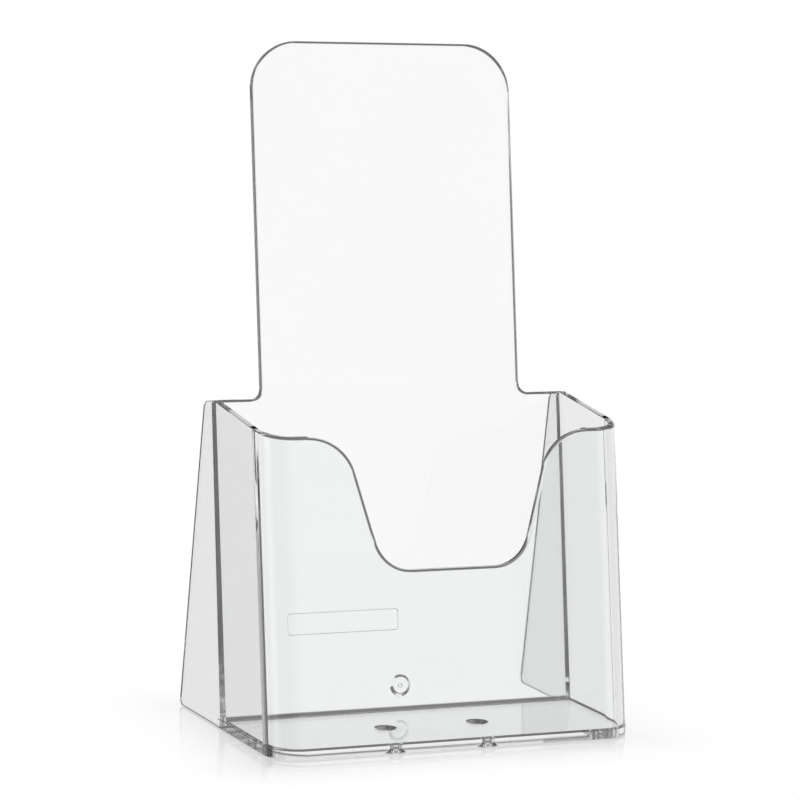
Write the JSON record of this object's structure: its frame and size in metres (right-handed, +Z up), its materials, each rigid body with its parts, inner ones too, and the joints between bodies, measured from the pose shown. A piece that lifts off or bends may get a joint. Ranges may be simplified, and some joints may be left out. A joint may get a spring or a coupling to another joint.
{
  "type": "brochure rack",
  "caption": "Clear moulded counter rack with one leaflet pocket: leaning back panel with a header tab, scooped front wall, screw holes in its floor and triangular rear legs",
  "frame": {"origin": "on the table, under the middle of the rack's outline", "axes": "+X across the rack to the right as seen from the front, +Y to the rear, +Z up; the pocket faces -Y"},
  "size_m": [0.1104, 0.0734, 0.1912],
  "materials": {
    "clear_plastic": "clear, polished"
  },
  "bodies": {
    "root": {"base_plate": "clear_plastic", "front_panel": "clear_plastic", "left_ear": "clear_plastic", "right_ear": "clear_plastic", "left_front_corner": "clear_plastic", "right_front_corner": "clear_plastic", "left_side_wall": "clear_plastic", "right_side_wall": "clear_plastic", "back_panel": "clear_plastic", "header_tab": "clear_plastic", "left_rear_leg": "clear_plastic", "right_rear_leg": "clear_plastic", "gate_stub": "clear_plastic", "blank_name_pad": "clear_plastic"}
  },
  "joints": []
}
